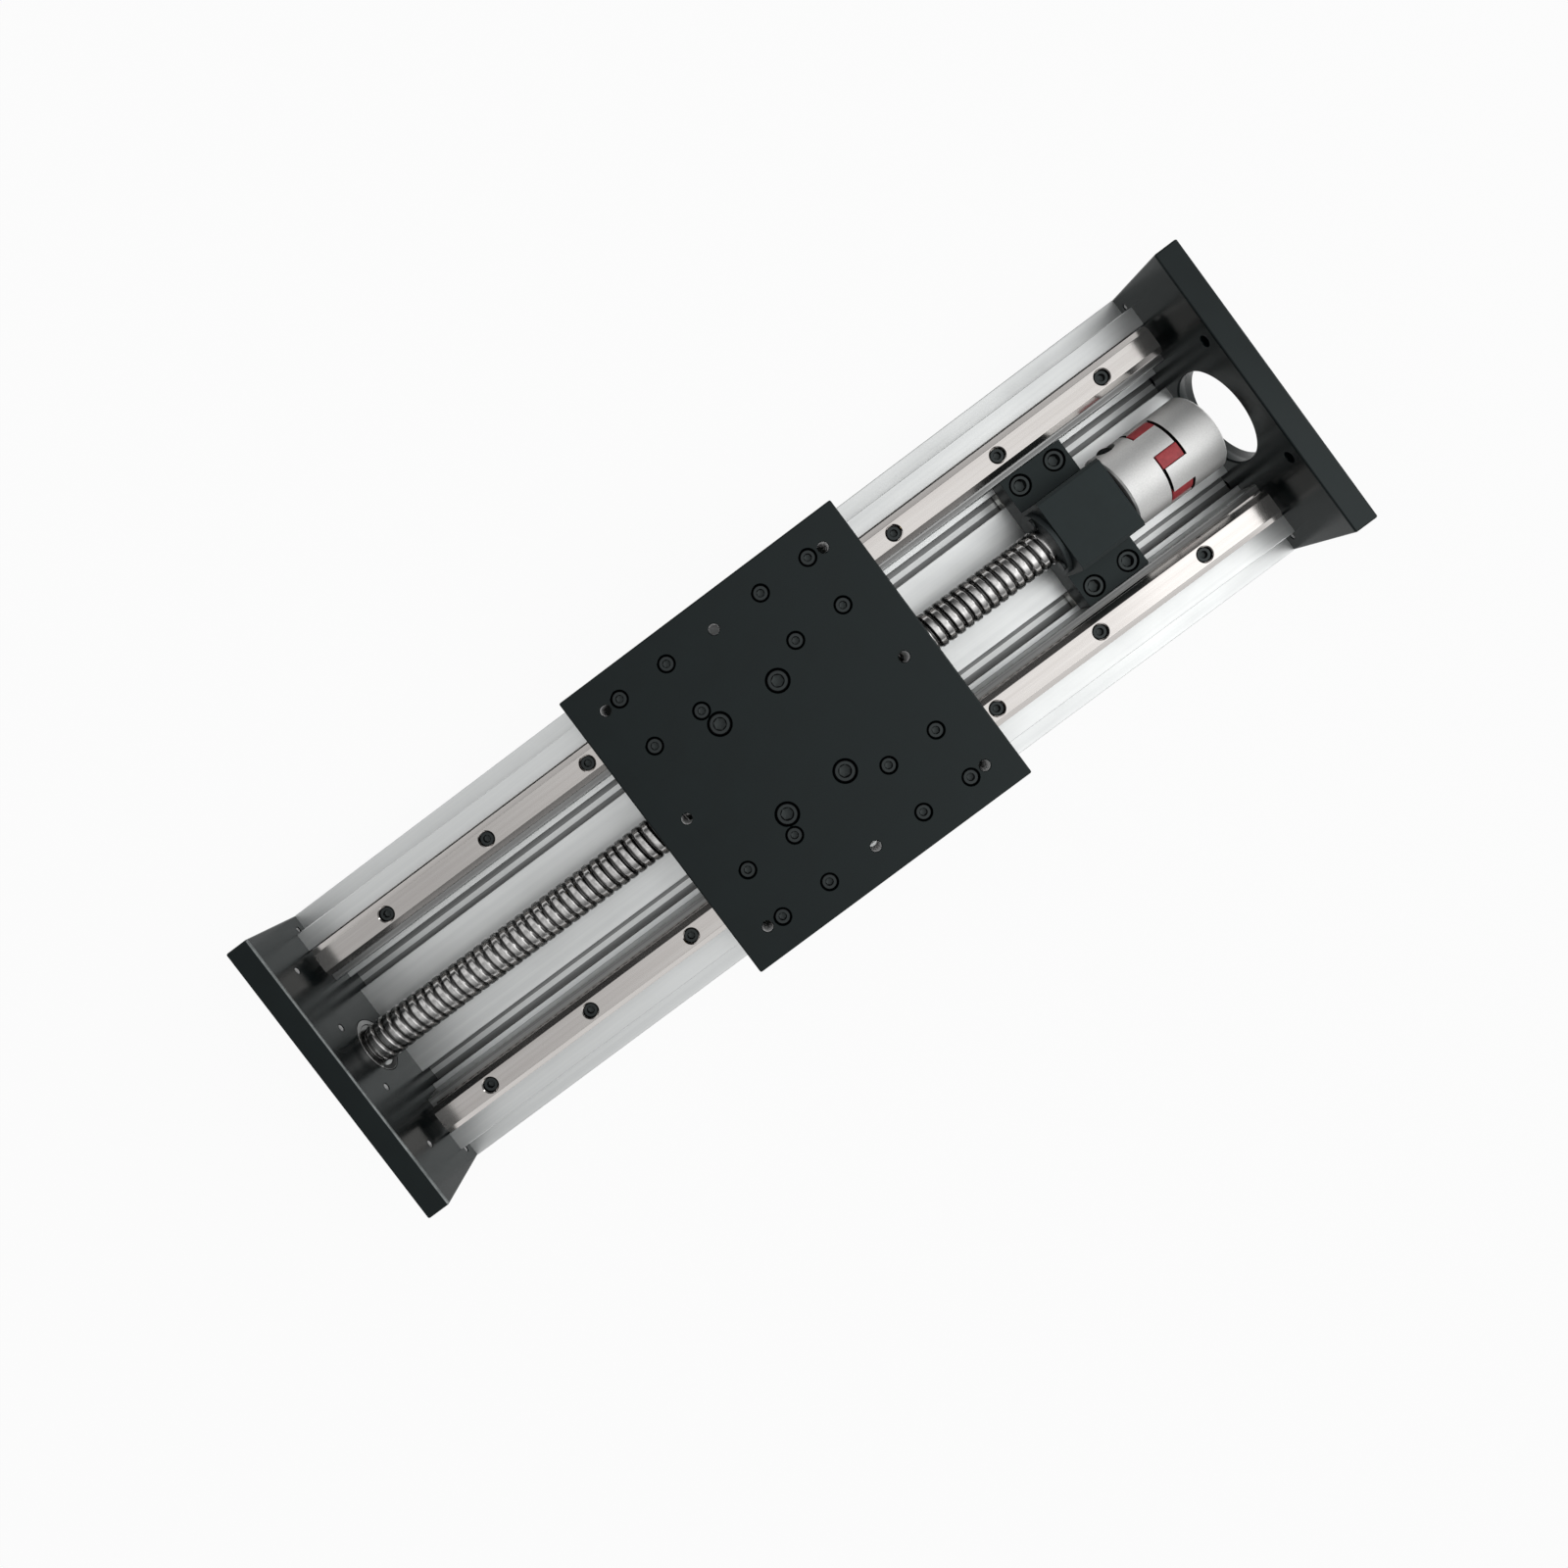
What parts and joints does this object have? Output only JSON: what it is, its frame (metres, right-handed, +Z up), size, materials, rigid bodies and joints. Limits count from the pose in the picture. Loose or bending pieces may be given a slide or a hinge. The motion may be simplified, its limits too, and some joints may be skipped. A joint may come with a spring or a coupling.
{
  "type": "linear guide module",
  "caption": "Ball screw linear module: aluminium base with profile rails, a square carriage plate on guide blocks, end plates, bearing block and jaw coupling.",
  "frame": {"origin": "middle of the base's underside", "axes": "+X along the screw towards the motor end, +Y across to the left rail, +Z up"},
  "size_m": [0.524, 0.15, 0.084],
  "materials": {
    "extruded_aluminium": "brushed and clear anodised extrusion",
    "black_anodised": "black anodised, fine milled satin",
    "block_black": "black oxide satin",
    "ground_steel": "ground bearing steel",
    "bright_steel": "rolled and polished ball screw steel",
    "black_screw": "black oxide fasteners",
    "silver_hub": "bead blasted aluminium",
    "red_spider": "polyurethane",
    "black_rubber": "nitrile",
    "cap_plastic": "moulded nylon",
    "zinc_steel": "zinc plated",
    "brass": "turned brass"
  },
  "bodies": {
    "base": {"base_extrusion": "extruded_aluminium", "left_guide_rail": "ground_steel", "right_guide_rail": "ground_steel", "left_rail_screws": "black_screw", "right_rail_screws": "black_screw", "motor_end_plate": "black_anodised", "tail_end_plate": "black_anodised", "motor_plate_screws": "black_screw", "tail_plate_screws": "black_screw", "bearing_block": "block_black", "bearing_block_screws": "black_screw", "slot_nuts": "zinc_steel", "bearing_cover": "block_black", "bearing_cover_screws": "black_screw", "oil_seal": "black_rubber", "block_snap_ring": "black_screw", "block_bearing_outer_rings": "ground_steel", "tail_bearing_outer_ring": "ground_steel"},
    "carriage": {"carriage_plate": "black_anodised", "guide_block_motor_left": "ground_steel", "guide_block_motor_right": "ground_steel", "guide_block_tail_left": "ground_steel", "guide_block_tail_right": "ground_steel", "block_end_caps": "cap_plastic", "block_end_seals": "black_rubber", "grease_nipples": "brass", "guide_block_screws": "black_screw", "nut_bracket": "black_anodised", "nut_bracket_screws": "black_screw", "ball_nut": "ground_steel", "ball_nut_screws": "black_screw", "nut_wipers": "black_rubber"},
    "screw": {"ball_screw": "bright_steel", "block_bearing_inner_rings": "ground_steel", "tail_bearing_inner_ring": "ground_steel", "screw_spacers": "ground_steel", "lock_nut": "black_screw", "tail_snap_ring": "black_screw", "coupling_screw_hub": "silver_hub", "coupling_spider": "red_spider", "coupling_motor_hub": "silver_hub", "coupling_clamp_screws": "black_screw"}
  },
  "joints": [
    {"name": "screw_spin", "type": "hinge", "parent": "base", "child": "screw", "pos_m": [0, 0, 0.044], "axis": [1, 0, 0], "range_deg": [-8640.5, 12240.5]},
    {"name": "carriage_slide", "type": "slide", "parent": "base", "child": "carriage", "axis": [1, 0, 0], "range_m": [-0.17, 0.12]}
  ],
  "couplings": [
    {"joint": "screw_spin", "follows": "carriage_slide", "rad_per_m": -1256.6}
  ]
}
